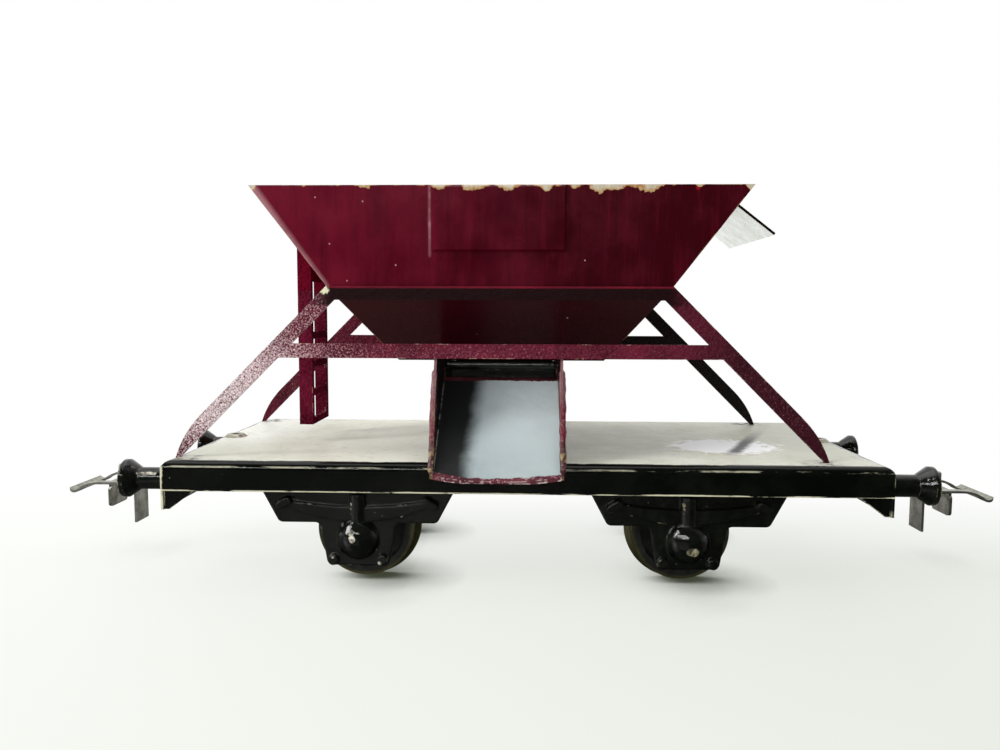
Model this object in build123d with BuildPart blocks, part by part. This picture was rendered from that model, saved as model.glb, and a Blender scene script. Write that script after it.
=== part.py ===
"""Four-wheel hopper wagon of folded tinplate for 32 mm gauge toy track. Millimetres, +Z up.

The origin is on the floor under the middle of the platform, +X runs along the wagon and -Y is its
front. The superstructure stands a little off the middle, towards the ladder end.
"""
import os
from math import asin, atan2, cos, hypot, sin, tan

from build123d import *

# ---- Driving dimensions -------------------------------------------------------------------------
# Running gear
flange_radius = 10.65
tread_radius = 9.6
wheelbase = 62.8
wheel_back = 14.0           # wagon's middle to the back of a wheel
wheel_width = 5.0
flange_width = 1.3
rim_radius = 7.9            # inside of the wheel's rim
web_thickness = 3.0
hub_radius = 2.6
axle_radius = 1.2
pivot_radius = 0.75         # turned-down axle ends
pivot_depth = 0.9           # how far a pivot's bearing goes into the axlebox
running_clearance = 0.05
axle_end_play = 0.3

# Platform: deck, sills and headstocks folded from one sheet
platform_length = 136.0
platform_width = 60.0
deck_height = 25.9
platform_sheet = 0.5
fold_radius = 1.6
sill_depth = 5.6
headstock_depth = 9.2
gusset_length = 6.2
gusset_foot = 0.9
gusset_lap = 2.6            # how far the gussets reach up behind the sills

# Axle brackets
bracket_sheet = 0.5
bracket_half_width = 26.5
guard_top_half = 18.7       # half the guard's length at the sill's lower edge
guard_wing_half = 15.2
wing_drop = 12.2            # deck to the lower edge of the wings
lobe_top_half = 7.3
lobe_bottom_half = 5.9
lobe_drop = 20.5            # deck to the lower edge of the lobe
guard_corner_radius = 1.2
spring_half = 14.0
spring_rise = 3.3           # wings' lower edge to the underside of the spring's ends
spring_end_depth = 1.2
spring_middle_depth = 2.9
spring_bow = 3.0            # how far the spring's underside sags
spring_relief = 0.7
buckle_width = 3.2
buckle_relief = 1.3
shackle_length = 1.7
shackle_radius = 0.75
shackle_angle = 60
shackle_relief = 1.4
knob_radius = 1.0
knob_inset = 1.2
knob_relief = 0.9
axlebox_radius = 4.1
axlebox_relief = 2.6

# Buffers
buffer_spacing = 38.6
buffer_drop = 5.5           # deck to the buffers' axis
buffer_reach = 11.9         # headstock to buffer face
buffer_head_radius = 3.8
buffer_head_thickness = 0.8
buffer_head_length = 3.2    # face to the end of the head's cone
buffer_shank_radius = 2.2
spigot_radius = 1.5
spigot_rivet_radius = 2.1
spigot_rivet_depth = 0.6

# Couplings
coupler_pin_inset = 3.5     # headstock face to the swing pin
coupler_pin_radius = 1.3
coupler_pin_bore = 0.8
pin_shoulder = 0.5
pin_rim = 0.7               # how far the rolled ends of the pin reach out
pin_head_rise = 0.6
drawbar_gap = 0.7           # headstock's lower edge to the drawbar
drawbar_sheet = 0.6
drawbar_width = 8.4
drawbar_reach = 23.6        # headstock face to the drawbar's turned end
tab_drop = 5.6
tab_neck = 1.6              # drawbar's top to where the tab widens
tab_width = 7.4
tab_step = 0.9
nose_rise = 3.4
nose_width = 1.5
nose_inset = 1.0            # turned end to the nose
loop_sheet = 0.5
loop_width = 13.4
loop_strip = 1.8
loop_corner_radius = 1.4
loop_reach = 31.7           # headstock face to the loop's tip
loop_pivot_reach = 18.6     # headstock face to the hanging tail
loop_flat = 0.6             # how far the loop stays flat beyond the turned end
loop_dip_reach = 4.4        # from there to the lowest point
loop_dip = 1.5
loop_curl = 0.5             # rise from there to the tip
tail_drop = 9.9
tail_width = 5.6
slot_clearance = 0.45
sheet_gap = 0.1             # between sheets that slide on each other

# Hopper and its frames, measured up from the deck
body_sheet = 0.5
superstructure_offset = -4.6
rim_rise = 51.7
rim_length = 94.4
hopper_width = 50.0
knee_rise = 31.9            # where the sides turn inwards
bottom_rise = 18.1
bottom_width = 22.0
end_slope = 0.775           # length lost at each end per unit of height
bottom_bend_radius = 2.6
outlet_length = 21.8
outlet_width = 18.0
panel_width = 25.2
panel_margin = 7.4          # knee to the panel's lower edge
panel_relief = 0.6
panel_taper = 35
frame_lap = 1.0             # how far the frame laps over the hopper side
frame_top_half = 32.6
top_bar_depth = 2.6
crossbar_rise = 19.3        # deck to the crossbar's underside
crossbar_depth = 2.75
leg_slope = 1.0
leg_width = 4.1             # measured along the wagon
foot_round = 8.3            # height over which the leg's outer edge curves in
foot_width = 0.9            # flat where a leg's tip stands on the deck
foot_tab_length = 1.5
slot_gap = 0.12

# Chute
chute_width = 23.4
chute_throat_half = 11.0    # where the slopes start
throat_rise = 15.1
chute_slope = 0.763         # fall per unit of distance out
chute_corner_reach = 33.0   # wagon's middle to the lip's corners
lip_bulge = 1.0
ridge_rise = 0.8
wall_lip = 0.6              # wall's height at the lip's corners
wall_rise = 20.7

# Discharge doors
door_rod_radius = 0.4
door_rod_overhang = 0.6
door_axis_reach = 12.1      # wagon's middle to the hinge wire
door_axis_rise = 17.2
knuckle_radius = 0.9
door_sheet = 0.4
door_length = 2.5
door_side_gap = 0.4

# Ladder and end plate
ladder_width = 13.4
ladder_inset = 3.8          # rim's end to the ladder's outer edge
ladder_depth = 2.9
ladder_rise = 3.8           # its lower end hangs clear of the deck
rung_pitch = 6.12
rung_height = 1.5
stile_width = 1.4
end_plate_width = 34.0
end_plate_length = 10.0
end_plate_root = 4.0
end_plate_drop = 2.6        # along the slope, rim to the plate's bend
end_plate_sheet = 0.5
end_plate_bend_radius = 0.8

# ---- Sizes that follow --------------------------------------------------------------------------
half_length = platform_length / 2
half_width = platform_width / 2
deck_under = deck_height - platform_sheet
headstock_bottom = deck_height - headstock_depth
sill_bottom = deck_height - sill_depth
axle_height = flange_radius
wing_height = deck_height - wing_drop
lobe_height = deck_height - lobe_drop
buffer_height = deck_height - buffer_drop
rim_height = deck_height + rim_rise
knee_height = deck_height + knee_rise
bottom_height = deck_height + bottom_rise
crossbar_height = deck_height + crossbar_rise
throat_height = deck_height + throat_rise
door_axis_height = deck_height + door_axis_rise
hopper_half = hopper_width / 2
bottom_half = bottom_width / 2
bottom_half_length = rim_length / 2 - (rim_rise - bottom_rise) * end_slope
frame_face = hopper_half + body_sheet
frame_top = knee_height + frame_lap
xs = superstructure_offset
ENDS = {"left": -1, "right": 1}
SIDES = {"front": -1, "rear": 1}


def floor_height(reach):
    """Upper face of the chute floor at a distance from the wagon's middle."""
    return throat_height - (reach - chute_throat_half) * chute_slope


def save(builder, name):
    """Label a finished piece and write it as a STEP file of the same name."""
    builder.part.label = name
    export_step(builder.part, f"parts/{name}.step")


os.makedirs("parts", exist_ok=True)

# ---- Platform -----------------------------------------------------------------------------------
foot_reach = frame_top_half + (frame_top - deck_height) * leg_slope - leg_width
foot_middle = foot_reach + foot_width / 2
pin_reach = half_length - coupler_pin_inset
pin_shoulder_radius = coupler_pin_radius + pin_shoulder

with BuildPart() as platform:
    with BuildSketch(Plane.XY.offset(headstock_bottom)):
        Rectangle(platform_length, platform_width)
    extrude(amount=headstock_depth)
    fillet(platform.edges().group_by(Axis.Z)[-1], radius=fold_radius)
    offset(amount=-platform_sheet, openings=platform.faces().sort_by(Axis.Z)[0])
    # the sills are shallower than the headstocks
    headstock_back = half_length - platform_sheet
    with Locations((0, 0, headstock_bottom)):
        Box(2 * headstock_back, 2 * platform_width, 2 * (headstock_depth - sill_depth), mode=Mode.SUBTRACT)
    # each headstock's ends are folded back behind the sills, and taper to its foot
    for side in SIDES.values():
        with BuildSketch(Plane.XZ.offset(side * (half_width - 1.5 * platform_sheet))):
            with BuildLine():
                Polyline(
                    (headstock_back, headstock_bottom), (headstock_back - gusset_foot, headstock_bottom),
                    (half_length - gusset_length, sill_bottom),
                    (half_length - gusset_length, sill_bottom + gusset_lap),
                    (headstock_back, sill_bottom + gusset_lap), close=True,
                )
            make_face()
            mirror(about=Plane.YZ)
        extrude(amount=platform_sheet / 2, both=True)
    for end in ENDS.values():
        with Locations((end * pin_reach, 0, deck_height)):
            Cylinder(pin_shoulder_radius, 4 * platform_sheet, mode=Mode.SUBTRACT)
        for side in SIDES.values():
            spigot = (end * half_length, side * buffer_spacing / 2, buffer_height)
            with Locations(Location(spigot, (0, 90, 0))):
                Cylinder(spigot_radius, 4 * platform_sheet, mode=Mode.SUBTRACT)
            with Locations((xs + end * foot_middle, side * (frame_face - body_sheet / 2), deck_height)):
                Box(foot_width + 2 * slot_gap, body_sheet + 2 * slot_gap, 4 * platform_sheet,
                    mode=Mode.SUBTRACT)
save(platform, "platform")

# ---- Axle brackets ------------------------------------------------------------------------------
guard_plane = Plane.XZ.offset(bracket_half_width)
guard_back = Plane.XZ.offset(bracket_half_width - bracket_sheet)
spring_bottom = wing_height + spring_rise
dome_sphere = (axlebox_radius ** 2 + axlebox_relief ** 2) / (2 * axlebox_relief)
dome_half_angle = asin(axlebox_radius / dome_sphere) / 2
for end_name, end in ENDS.items():
    x = end * wheelbase / 2
    with BuildPart() as bracket:
        # one guard: wings under the sill and a lobe round the axlebox
        with BuildSketch(guard_back):
            with BuildLine():
                Polyline(
                    (x - guard_top_half, deck_under), (x - guard_top_half, sill_bottom),
                    (x - guard_wing_half, wing_height), (x - lobe_top_half, wing_height),
                    (x - lobe_bottom_half, lobe_height), (x + lobe_bottom_half, lobe_height),
                    (x + lobe_top_half, wing_height), (x + guard_wing_half, wing_height),
                    (x + guard_top_half, sill_bottom), (x + guard_top_half, deck_under),
                    close=True,
                )
            guard = make_face()
            fillet(guard.vertices().filter_by(lambda v: v.Y < sill_bottom - platform_sheet),
                   radius=guard_corner_radius)
        extrude(amount=bracket_sheet)
        # leaf spring, thick in the middle, pressed out of the guard
        with BuildSketch(guard_plane):
            with BuildLine():
                ends = [(x + s * spring_half, spring_bottom) for s in (-1, 1)]
                tops = [(x + s * spring_half, spring_bottom + spring_end_depth) for s in (-1, 1)]
                middle = spring_bottom - spring_bow
                ThreePointArc(ends[0], (x, middle), ends[1])
                Line(ends[1], tops[1])
                ThreePointArc(tops[1], (x, middle + spring_middle_depth), tops[0])
                Line(tops[0], ends[0])
            make_face()
        extrude(amount=spring_relief)
        # buckle, shackles at the spring's ends and tie-rod knobs at the lobe's foot
        with BuildSketch(Plane.XY.offset(axle_height)):
            with BuildLine():
                bulge = ThreePointArc((x - buckle_width / 2, -bracket_half_width),
                                      (x, -bracket_half_width - buckle_relief),
                                      (x + buckle_width / 2, -bracket_half_width))
                Line(bulge @ 1, bulge @ 0)
            make_face()
        extrude(amount=spring_bottom + 2 * spring_end_depth - axle_height)
        with BuildSketch(guard_plane):
            for s in (-1, 1):
                with Locations(Location((x + s * spring_half, spring_bottom + spring_end_depth / 2),
                                        s * shackle_angle - 90)):
                    SlotCenterToCenter(shackle_length, 2 * shackle_radius)
        extrude(amount=shackle_relief)
        with BuildSketch(guard_plane):
            with Locations(*[(x + s * (lobe_bottom_half - knob_inset), lobe_height + knob_inset)
                             for s in (-1, 1)]):
                Circle(knob_radius)
        extrude(amount=knob_relief)
        # axlebox: a pressed dome, with a blind bearing behind it
        dome_base = (x, -bracket_half_width, axle_height)
        with BuildSketch(Plane(origin=dome_base, x_dir=(0, -1, 0), z_dir=(0, 0, 1))):
            with BuildLine():
                shoulder = (axlebox_relief - dome_sphere + dome_sphere * cos(dome_half_angle),
                            dome_sphere * sin(dome_half_angle))
                ThreePointArc((axlebox_relief, 0), shoulder, (0, axlebox_radius))
                Polyline((0, axlebox_radius), (0, 0), (axlebox_relief, 0))
            make_face()
        revolve(axis=Axis((x, 0, axle_height), (0, 1, 0)))
        with BuildSketch(guard_back):
            with Locations((x, axle_height)):
                Circle(pivot_radius + running_clearance)
        extrude(amount=bracket_sheet + pivot_depth, mode=Mode.SUBTRACT)
        mirror(about=Plane.XZ)
        # web under the deck that joins the two guards
        with BuildSketch(Plane.XY.offset(deck_under)):
            with Locations((x, 0)):
                Rectangle(2 * guard_top_half, 2 * bracket_half_width)
        extrude(amount=-bracket_sheet)
    save(bracket, f"axle_bracket_{end_name}")

# ---- Wheelsets ----------------------------------------------------------------------------------
axle_half = bracket_half_width - bracket_sheet - axle_end_play
pivot_half = bracket_half_width + pivot_depth - axle_end_play
for end_name, end in ENDS.items():
    x = end * wheelbase / 2
    axle_line = Axis((x, 0, axle_height), (0, 1, 0))
    section = Plane(origin=(x, 0, axle_height), x_dir=(0, 1, 0), z_dir=(1, 0, 0))
    with BuildPart() as axle:
        with BuildSketch(section):
            Rectangle(2 * axle_half, axle_radius, align=(Align.CENTER, Align.MIN))
            Rectangle(2 * pivot_half, pivot_radius, align=(Align.CENTER, Align.MIN))
        revolve(axis=axle_line)
    save(axle, f"axle_{end_name}")
    for side_name, side in SIDES.items():
        back = side * wheel_back
        web_face = back + side * web_thickness
        face = back + side * wheel_width
        with BuildPart() as wheel:
            with BuildSketch(section):
                with BuildLine():
                    Polyline(
                        (back, axle_radius), (face, axle_radius), (face, hub_radius), (web_face, hub_radius),
                        (web_face, rim_radius), (face, rim_radius), (face, tread_radius),
                        (back + side * flange_width, tread_radius),
                        (back + side * flange_width / 2, flange_radius), (back, flange_radius), close=True,
                    )
                make_face()
            revolve(axis=axle_line)
        save(wheel, f"wheel_{end_name}_{side_name}")

# ---- Buffers ------------------------------------------------------------------------------------
for end_name, end in ENDS.items():
    for side_name, side in SIDES.items():
        y = side * buffer_spacing / 2
        face = end * (half_length + buffer_reach)
        inside = end * (half_length - platform_sheet)
        with BuildPart() as buffer:
            with BuildSketch(Plane(origin=(0, y, buffer_height), x_dir=(1, 0, 0), z_dir=(0, -1, 0))):
                with BuildLine():
                    Polyline(
                        (face, 0), (face, buffer_head_radius),
                        (face - end * buffer_head_thickness, buffer_head_radius),
                        (face - end * buffer_head_length, buffer_shank_radius),
                        (end * half_length, buffer_shank_radius), (end * half_length, spigot_radius),
                        (inside, spigot_radius), (inside, spigot_rivet_radius),
                        (inside - end * spigot_rivet_depth, spigot_rivet_radius),
                        (inside - end * spigot_rivet_depth, 0), close=True,
                    )
                make_face()
            revolve(axis=Axis((0, y, buffer_height), (1, 0, 0)))
        save(buffer, f"buffer_{end_name}_{side_name}")

# ---- Couplings ----------------------------------------------------------------------------------
drawbar_top = headstock_bottom - drawbar_gap
drawbar_height = drawbar_top - drawbar_sheet
tail_x = half_length + loop_pivot_reach
turned_end = half_length + drawbar_reach
loop_tip = half_length + loop_reach
loop_bottom = drawbar_top + sheet_gap

with BuildPart() as coupler_pin_right:
    with BuildSketch(Plane(origin=(pin_reach, 0, 0), x_dir=(1, 0, 0), z_dir=(0, -1, 0))):
        with BuildLine():
            foot = drawbar_height - sheet_gap
            Polyline(
                (coupler_pin_bore, foot - pin_rim), (coupler_pin_radius + pin_rim, foot - pin_rim),
                (coupler_pin_radius + pin_rim, foot), (coupler_pin_radius, foot),
                (coupler_pin_radius, drawbar_top + sheet_gap),
                (pin_shoulder_radius, drawbar_top + sheet_gap), (pin_shoulder_radius, deck_height),
                (pin_shoulder_radius + pin_rim, deck_height),
                (pin_shoulder_radius, deck_height + pin_head_rise),
                (coupler_pin_bore, deck_height + pin_head_rise), close=True,
            )
        make_face()
    revolve(axis=Axis((pin_reach, 0, 0), (0, 0, 1)))
save(coupler_pin_right, "coupler_pin_right")

with BuildPart() as drawbar_right:
    with BuildSketch(Plane.XY.offset(drawbar_height)):
        with Locations(((pin_reach + turned_end) / 2, 0)):
            Rectangle(turned_end - pin_reach, drawbar_width)
        with Locations((pin_reach, 0)):
            Circle(drawbar_width / 2)
            Circle(coupler_pin_radius + running_clearance, mode=Mode.SUBTRACT)
        with Locations((tail_x, 0)):
            Rectangle(loop_sheet + 2 * slot_clearance, tail_width + 2 * slot_clearance, mode=Mode.SUBTRACT)
    extrude(amount=drawbar_sheet)
    # the end turns down as a tab, and a hook nose lanced out of the bar stands up behind it
    with BuildSketch(Plane.YZ.offset(turned_end)):
        with BuildLine():
            neck = drawbar_width / 2 - tab_step
            Polyline(
                (0, drawbar_top), (neck, drawbar_top), (neck, drawbar_top - tab_neck + tab_step / 2),
                (tab_width / 2, drawbar_top - tab_neck), (tab_width / 2, drawbar_top - tab_drop),
                (0, drawbar_top - tab_drop),
            )
            mirror(about=Plane.YZ)
        tab_face = make_face()
        fillet(tab_face.vertices().group_by(Axis.Y)[0], radius=tab_step)
    extrude(amount=drawbar_sheet)
    with BuildSketch(Plane.YZ.offset(turned_end - nose_inset)):
        with Locations((0, drawbar_top)):
            nose = Rectangle(nose_width, nose_rise, align=(Align.CENTER, Align.MIN))
            fillet(nose.vertices().group_by(Axis.Y)[-1], radius=nose_width / 3)
    extrude(amount=drawbar_sheet)
save(drawbar_right, "drawbar_right")

loop_root = tail_x - loop_sheet / 2
with BuildPart() as coupling_loop_right:
    # side view of the sheet: flat on the drawbar, dipping beyond it, its tip curled up
    with BuildSketch(Plane.XZ):
        with BuildLine():
            bend_start = (turned_end + drawbar_sheet + loop_flat, loop_bottom)
            dip_end = (bend_start[0] + loop_dip_reach, loop_bottom - loop_dip)
            Line((loop_root, loop_bottom), bend_start)
            fall = TangentArc(bend_start, dip_end, tangent=(1, 0))
            TangentArc(dip_end, (loop_tip, loop_bottom - loop_dip + loop_curl), tangent=fall % 1)
            offset(amount=loop_sheet, side=Side.LEFT)
        make_face()
    extrude(amount=loop_width / 2, both=True)
    # plan view: a bar across the drawbar, two arms and the outer bar
    with BuildSketch(Plane.XY.offset(loop_bottom - 2 * loop_dip)):
        with Locations(((loop_root + loop_tip) / 2, 0)):
            RectangleRounded(loop_tip - loop_root, loop_width, loop_corner_radius)
            RectangleRounded(loop_tip - loop_root - 2 * loop_strip, loop_width - 2 * loop_strip,
                             loop_corner_radius / 2, mode=Mode.SUBTRACT)
    extrude(amount=3 * loop_dip + 2 * loop_sheet, mode=Mode.INTERSECT)
    # tail, bent down through the drawbar's slot
    with BuildSketch(Plane.YZ.offset(loop_root)):
        with Locations((0, loop_bottom + loop_sheet - tail_drop / 2)):
            Rectangle(tail_width, tail_drop)
    extrude(amount=loop_sheet)
save(coupling_loop_right, "coupling_loop_right")

with BuildPart() as coupler_pin_left:
    mirror(coupler_pin_right.part, about=Plane.YZ)
save(coupler_pin_left, "coupler_pin_left")
with BuildPart() as drawbar_left:
    mirror(drawbar_right.part, about=Plane.YZ)
save(drawbar_left, "drawbar_left")
with BuildPart() as coupling_loop_left:
    mirror(coupling_loop_right.part, about=Plane.YZ)
save(coupling_loop_left, "coupling_loop_left")

# ---- Hopper -------------------------------------------------------------------------------------
for side_name, side in SIDES.items():
    with BuildPart() as hopper_side:
        with BuildSketch(Plane.YZ):
            with BuildLine():
                Polyline(
                    (side * hopper_half, rim_height), (side * hopper_half, knee_height),
                    (side * bottom_half, bottom_height),
                )
                offset(amount=body_sheet, side=Side.LEFT if side < 0 else Side.RIGHT, kind=Kind.INTERSECTION)
            make_face()
        extrude(amount=rim_length, both=True)
        with BuildSketch(Plane.XZ):
            with BuildLine():
                Polyline(
                    (xs - rim_length / 2, rim_height), (xs + rim_length / 2, rim_height),
                    (xs + bottom_half_length, bottom_height), (xs - bottom_half_length, bottom_height),
                    close=True,
                )
            make_face()
        extrude(amount=hopper_width, both=True, mode=Mode.INTERSECT)
        # raised bare panel in the middle, up to the rim
        panel_height = rim_height - knee_height - panel_margin
        panel_plane = Plane(origin=(xs, side * hopper_half, rim_height - panel_height / 2),
                            x_dir=(-side, 0, 0), z_dir=(0, side, 0))
        with BuildSketch(panel_plane):
            Rectangle(panel_width, panel_height)
        extrude(amount=panel_relief, taper=panel_taper)
    save(hopper_side, f"hopper_side_{side_name}")

with BuildPart() as hopper_ends:
    with BuildSketch(Plane.XZ):
        with BuildLine():
            FilletPolyline(
                (xs - rim_length / 2, rim_height), (xs - bottom_half_length, bottom_height),
                (xs + bottom_half_length, bottom_height), (xs + rim_length / 2, rim_height),
                radius=bottom_bend_radius,
            )
            offset(amount=body_sheet, side=Side.LEFT)
        make_face()
    extrude(amount=hopper_width, both=True)
    with BuildSketch(Plane.XY.offset(rim_height)):
        Rectangle(2 * rim_length, 4 * hopper_width)
    extrude(amount=body_sheet * 4, mode=Mode.SUBTRACT)
    # trimmed to fit between the two sides
    with BuildSketch(Plane.YZ):
        with BuildLine():
            slope_angle = atan2(hopper_half - bottom_half, knee_height - bottom_height)
            lower_inset = body_sheet / cos(slope_angle)
            knee_inset_height = knee_height + (lower_inset - body_sheet) / tan(slope_angle)
            inner_bottom = bottom_half - lower_inset
            Polyline(
                (-hopper_half + body_sheet, rim_height), (-hopper_half + body_sheet, knee_inset_height),
                (-inner_bottom, bottom_height), (inner_bottom, bottom_height),
                (hopper_half - body_sheet, knee_inset_height), (hopper_half - body_sheet, rim_height),
                close=True,
            )
        make_face()
    extrude(amount=rim_length, both=True, mode=Mode.INTERSECT)
    with BuildSketch(Plane.XY.offset(bottom_height)):
        with Locations((xs, 0)):
            Rectangle(outlet_length, outlet_width)
    extrude(amount=2 * body_sheet, mode=Mode.SUBTRACT)
save(hopper_ends, "hopper_ends")

# ---- Side frames --------------------------------------------------------------------------------
crossbar_top = crossbar_height + crossbar_depth


def leg_outer(height):
    """Outer edge of a leg, measured from the frame's middle, at a height."""
    return frame_top_half + (frame_top - height) * leg_slope


for side_name, side in SIDES.items():
    plane = Plane(origin=(xs, side * (frame_face - body_sheet), 0), x_dir=(-side, 0, 0), z_dir=(0, side, 0))
    with BuildPart() as side_frame:
        with BuildSketch(plane):
            with BuildLine():
                round_start = (leg_outer(deck_height + foot_round), deck_height + foot_round)
                foot_outer = (foot_reach + foot_width, deck_height)
                foot_inner = (foot_reach, deck_height)
                Line((0, frame_top), (frame_top_half, frame_top))
                Line((frame_top_half, frame_top), round_start)
                TangentArc(round_start, foot_outer, tangent=(leg_slope, -1))
                Line(foot_outer, foot_inner)
                Line(foot_inner, (leg_outer(crossbar_height) - leg_width, crossbar_height))
                Line((leg_outer(crossbar_height) - leg_width, crossbar_height), (0, crossbar_height))
                mirror(about=Plane.YZ)
            make_face()
            with BuildLine():
                window_bottom = leg_outer(crossbar_top) - leg_width
                window_top = leg_outer(frame_top - top_bar_depth) - leg_width
                Polyline(
                    (-window_bottom, crossbar_top), (window_bottom, crossbar_top),
                    (window_top, frame_top - top_bar_depth), (-window_top, frame_top - top_bar_depth),
                    close=True,
                )
            make_face(mode=Mode.SUBTRACT)
            with Locations(*[(end * foot_middle, deck_height) for end in ENDS.values()]):
                Rectangle(foot_width, foot_tab_length, align=(Align.CENTER, Align.MAX))
        extrude(amount=body_sheet)
    save(side_frame, f"side_frame_{side_name}")

# ---- Chute --------------------------------------------------------------------------------------
lip_reach = chute_corner_reach + lip_bulge
with BuildPart() as chute_floor:
    with BuildSketch(Plane.YZ):
        with BuildLine():
            Polyline(
                (-lip_reach, floor_height(lip_reach)), (-chute_throat_half, throat_height),
                (0, throat_height + ridge_rise), (chute_throat_half, throat_height),
                (lip_reach, floor_height(lip_reach)),
            )
            offset(amount=body_sheet, side=Side.RIGHT, kind=Kind.INTERSECTION)
        make_face()
    extrude(amount=chute_width, both=True)
    # plan view, with a bowed lip at each end
    with BuildSketch(Plane.XY.offset(floor_height(lip_reach) - lip_bulge)):
        with BuildLine():
            left_x, right_x = xs - chute_width / 2, xs + chute_width / 2
            ThreePointArc((left_x, -chute_corner_reach), (xs, -lip_reach), (right_x, -chute_corner_reach))
            Line((right_x, -chute_corner_reach), (right_x, chute_corner_reach))
            ThreePointArc((right_x, chute_corner_reach), (xs, lip_reach), (left_x, chute_corner_reach))
            Line((left_x, chute_corner_reach), (left_x, -chute_corner_reach))
        make_face()
    extrude(amount=rim_height, mode=Mode.INTERSECT)
save(chute_floor, "chute_floor")

wall_slope = (hopper_half - bottom_half) / (knee_height - bottom_height)
wall_top = deck_height + wall_rise
wall_notch = bottom_half + (wall_top - bottom_height) * wall_slope
for end_name, end in ENDS.items():
    inner_face = xs + end * chute_width / 2
    with BuildPart() as chute_wall:
        with BuildSketch(Plane.YZ.offset(inner_face)):
            with BuildLine():
                corner = (chute_corner_reach, floor_height(chute_corner_reach) - body_sheet)
                throat = (chute_throat_half, throat_height - body_sheet)
                Polyline(
                    (0, throat_height + ridge_rise - body_sheet), throat, corner,
                    (chute_corner_reach, floor_height(chute_corner_reach) + wall_lip),
                    (frame_face - body_sheet, crossbar_height - sheet_gap),
                    (frame_face - body_sheet, wall_top), (wall_notch, wall_top),
                    (bottom_half, bottom_height), (0, bottom_height),
                )
                mirror(about=Plane.YZ)
            make_face()
            with Locations(*[(side * door_axis_reach, door_axis_height) for side in SIDES.values()]):
                Circle(door_rod_radius, mode=Mode.SUBTRACT)
        extrude(amount=end * body_sheet)
    save(chute_wall, f"chute_wall_{end_name}")

# ---- Discharge doors ----------------------------------------------------------------------------
rod_half = chute_width / 2 + body_sheet + door_rod_overhang
door_half = chute_width / 2 - door_side_gap
for side_name, side in SIDES.items():
    y = side * door_axis_reach
    with BuildPart() as door_rod:
        with BuildSketch(Plane.YZ.offset(xs - rod_half)):
            with Locations((y, door_axis_height)):
                Circle(door_rod_radius)
        extrude(amount=2 * rod_half)
    save(door_rod, f"door_rod_{side_name}")
    with BuildPart() as door:
        with BuildSketch(Plane.YZ.offset(xs - door_half)):
            with Locations((y, door_axis_height - door_length / 2)):
                Rectangle(door_sheet, door_length)
            with Locations((y, door_axis_height)):
                Circle(knuckle_radius)
                Circle(door_rod_radius + running_clearance, mode=Mode.SUBTRACT)
        extrude(amount=2 * door_half)
    save(door, f"door_{side_name}")

# ---- Ladder -------------------------------------------------------------------------------------
ladder_x = xs - rim_length / 2 + ladder_inset
ladder_bottom = deck_height + ladder_rise
ladder_top = rim_height - (ladder_inset + ladder_depth) / end_slope
with BuildPart() as ladder:
    with BuildSketch(Plane.XY.offset(ladder_bottom)):
        with BuildLine():
            Polyline(
                (ladder_x, -ladder_width / 2), (ladder_x + ladder_depth, -ladder_width / 2),
                (ladder_x + ladder_depth, ladder_width / 2), (ladder_x, ladder_width / 2),
            )
            offset(amount=body_sheet, side=Side.LEFT, kind=Kind.INTERSECTION)
        make_face()
    extrude(amount=rim_height - ladder_bottom)
    # punched openings leave the rungs
    gap_height = rung_pitch - rung_height
    opening_count = int((ladder_top - ladder_bottom - 2 * rung_height) // rung_pitch)
    with BuildSketch(Plane.YZ.offset(ladder_x + ladder_depth)):
        with Locations(*[(0, ladder_bottom + rung_height + gap_height / 2 + index * rung_pitch)
                         for index in range(opening_count)]):
            Rectangle(ladder_width - 2 * stile_width, gap_height)
    extrude(amount=-2 * body_sheet, mode=Mode.SUBTRACT)
    # top trimmed to the slope of the end wall
    with BuildSketch(Plane.XZ):
        with BuildLine():
            Polyline(
                (xs - rim_length / 2, rim_height), (xs - bottom_half_length, bottom_height),
                (xs, bottom_height), (xs, rim_height + 1), (xs - rim_length / 2, rim_height + 1), close=True,
            )
        make_face()
    extrude(amount=ladder_width, both=True, mode=Mode.SUBTRACT)
save(ladder, "ladder")

# ---- End plate ----------------------------------------------------------------------------------
with BuildPart() as end_plate:
    slope_len = hypot(1, end_slope)
    down = Vector(-end_slope / slope_len, -1 / slope_len)
    outward = Vector(1 / slope_len, -end_slope / slope_len)
    bend = Vector(xs + rim_length / 2, rim_height) + down * end_plate_drop
    with BuildSketch(Plane.XZ):
        with BuildLine():
            FilletPolyline(
                bend + down * end_plate_root, bend,
                bend + outward * end_plate_length, radius=end_plate_bend_radius,
            )
            offset(amount=end_plate_sheet, side=Side.RIGHT)
        make_face()
    extrude(amount=end_plate_width / 2, both=True)
save(end_plate, "end_plate")
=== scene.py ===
from math import cos, pi, radians, sin

import bpy
from mathutils import Matrix, Vector, noise


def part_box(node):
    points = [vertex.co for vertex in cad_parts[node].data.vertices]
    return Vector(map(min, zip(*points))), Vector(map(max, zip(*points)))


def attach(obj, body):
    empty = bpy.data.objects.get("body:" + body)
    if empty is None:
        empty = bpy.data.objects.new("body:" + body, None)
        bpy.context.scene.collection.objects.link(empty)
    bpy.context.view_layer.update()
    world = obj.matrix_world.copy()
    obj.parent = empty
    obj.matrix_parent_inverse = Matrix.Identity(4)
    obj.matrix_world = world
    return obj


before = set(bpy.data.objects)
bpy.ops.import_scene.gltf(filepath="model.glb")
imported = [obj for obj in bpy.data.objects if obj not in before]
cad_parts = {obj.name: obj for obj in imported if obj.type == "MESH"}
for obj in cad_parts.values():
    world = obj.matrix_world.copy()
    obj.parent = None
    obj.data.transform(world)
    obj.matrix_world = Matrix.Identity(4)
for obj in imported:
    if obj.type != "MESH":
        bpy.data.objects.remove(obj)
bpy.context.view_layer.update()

MM = 0.001
HOPPER_X = -4.6          # middle of the hopper and its frames, left of the platform's own middle


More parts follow.
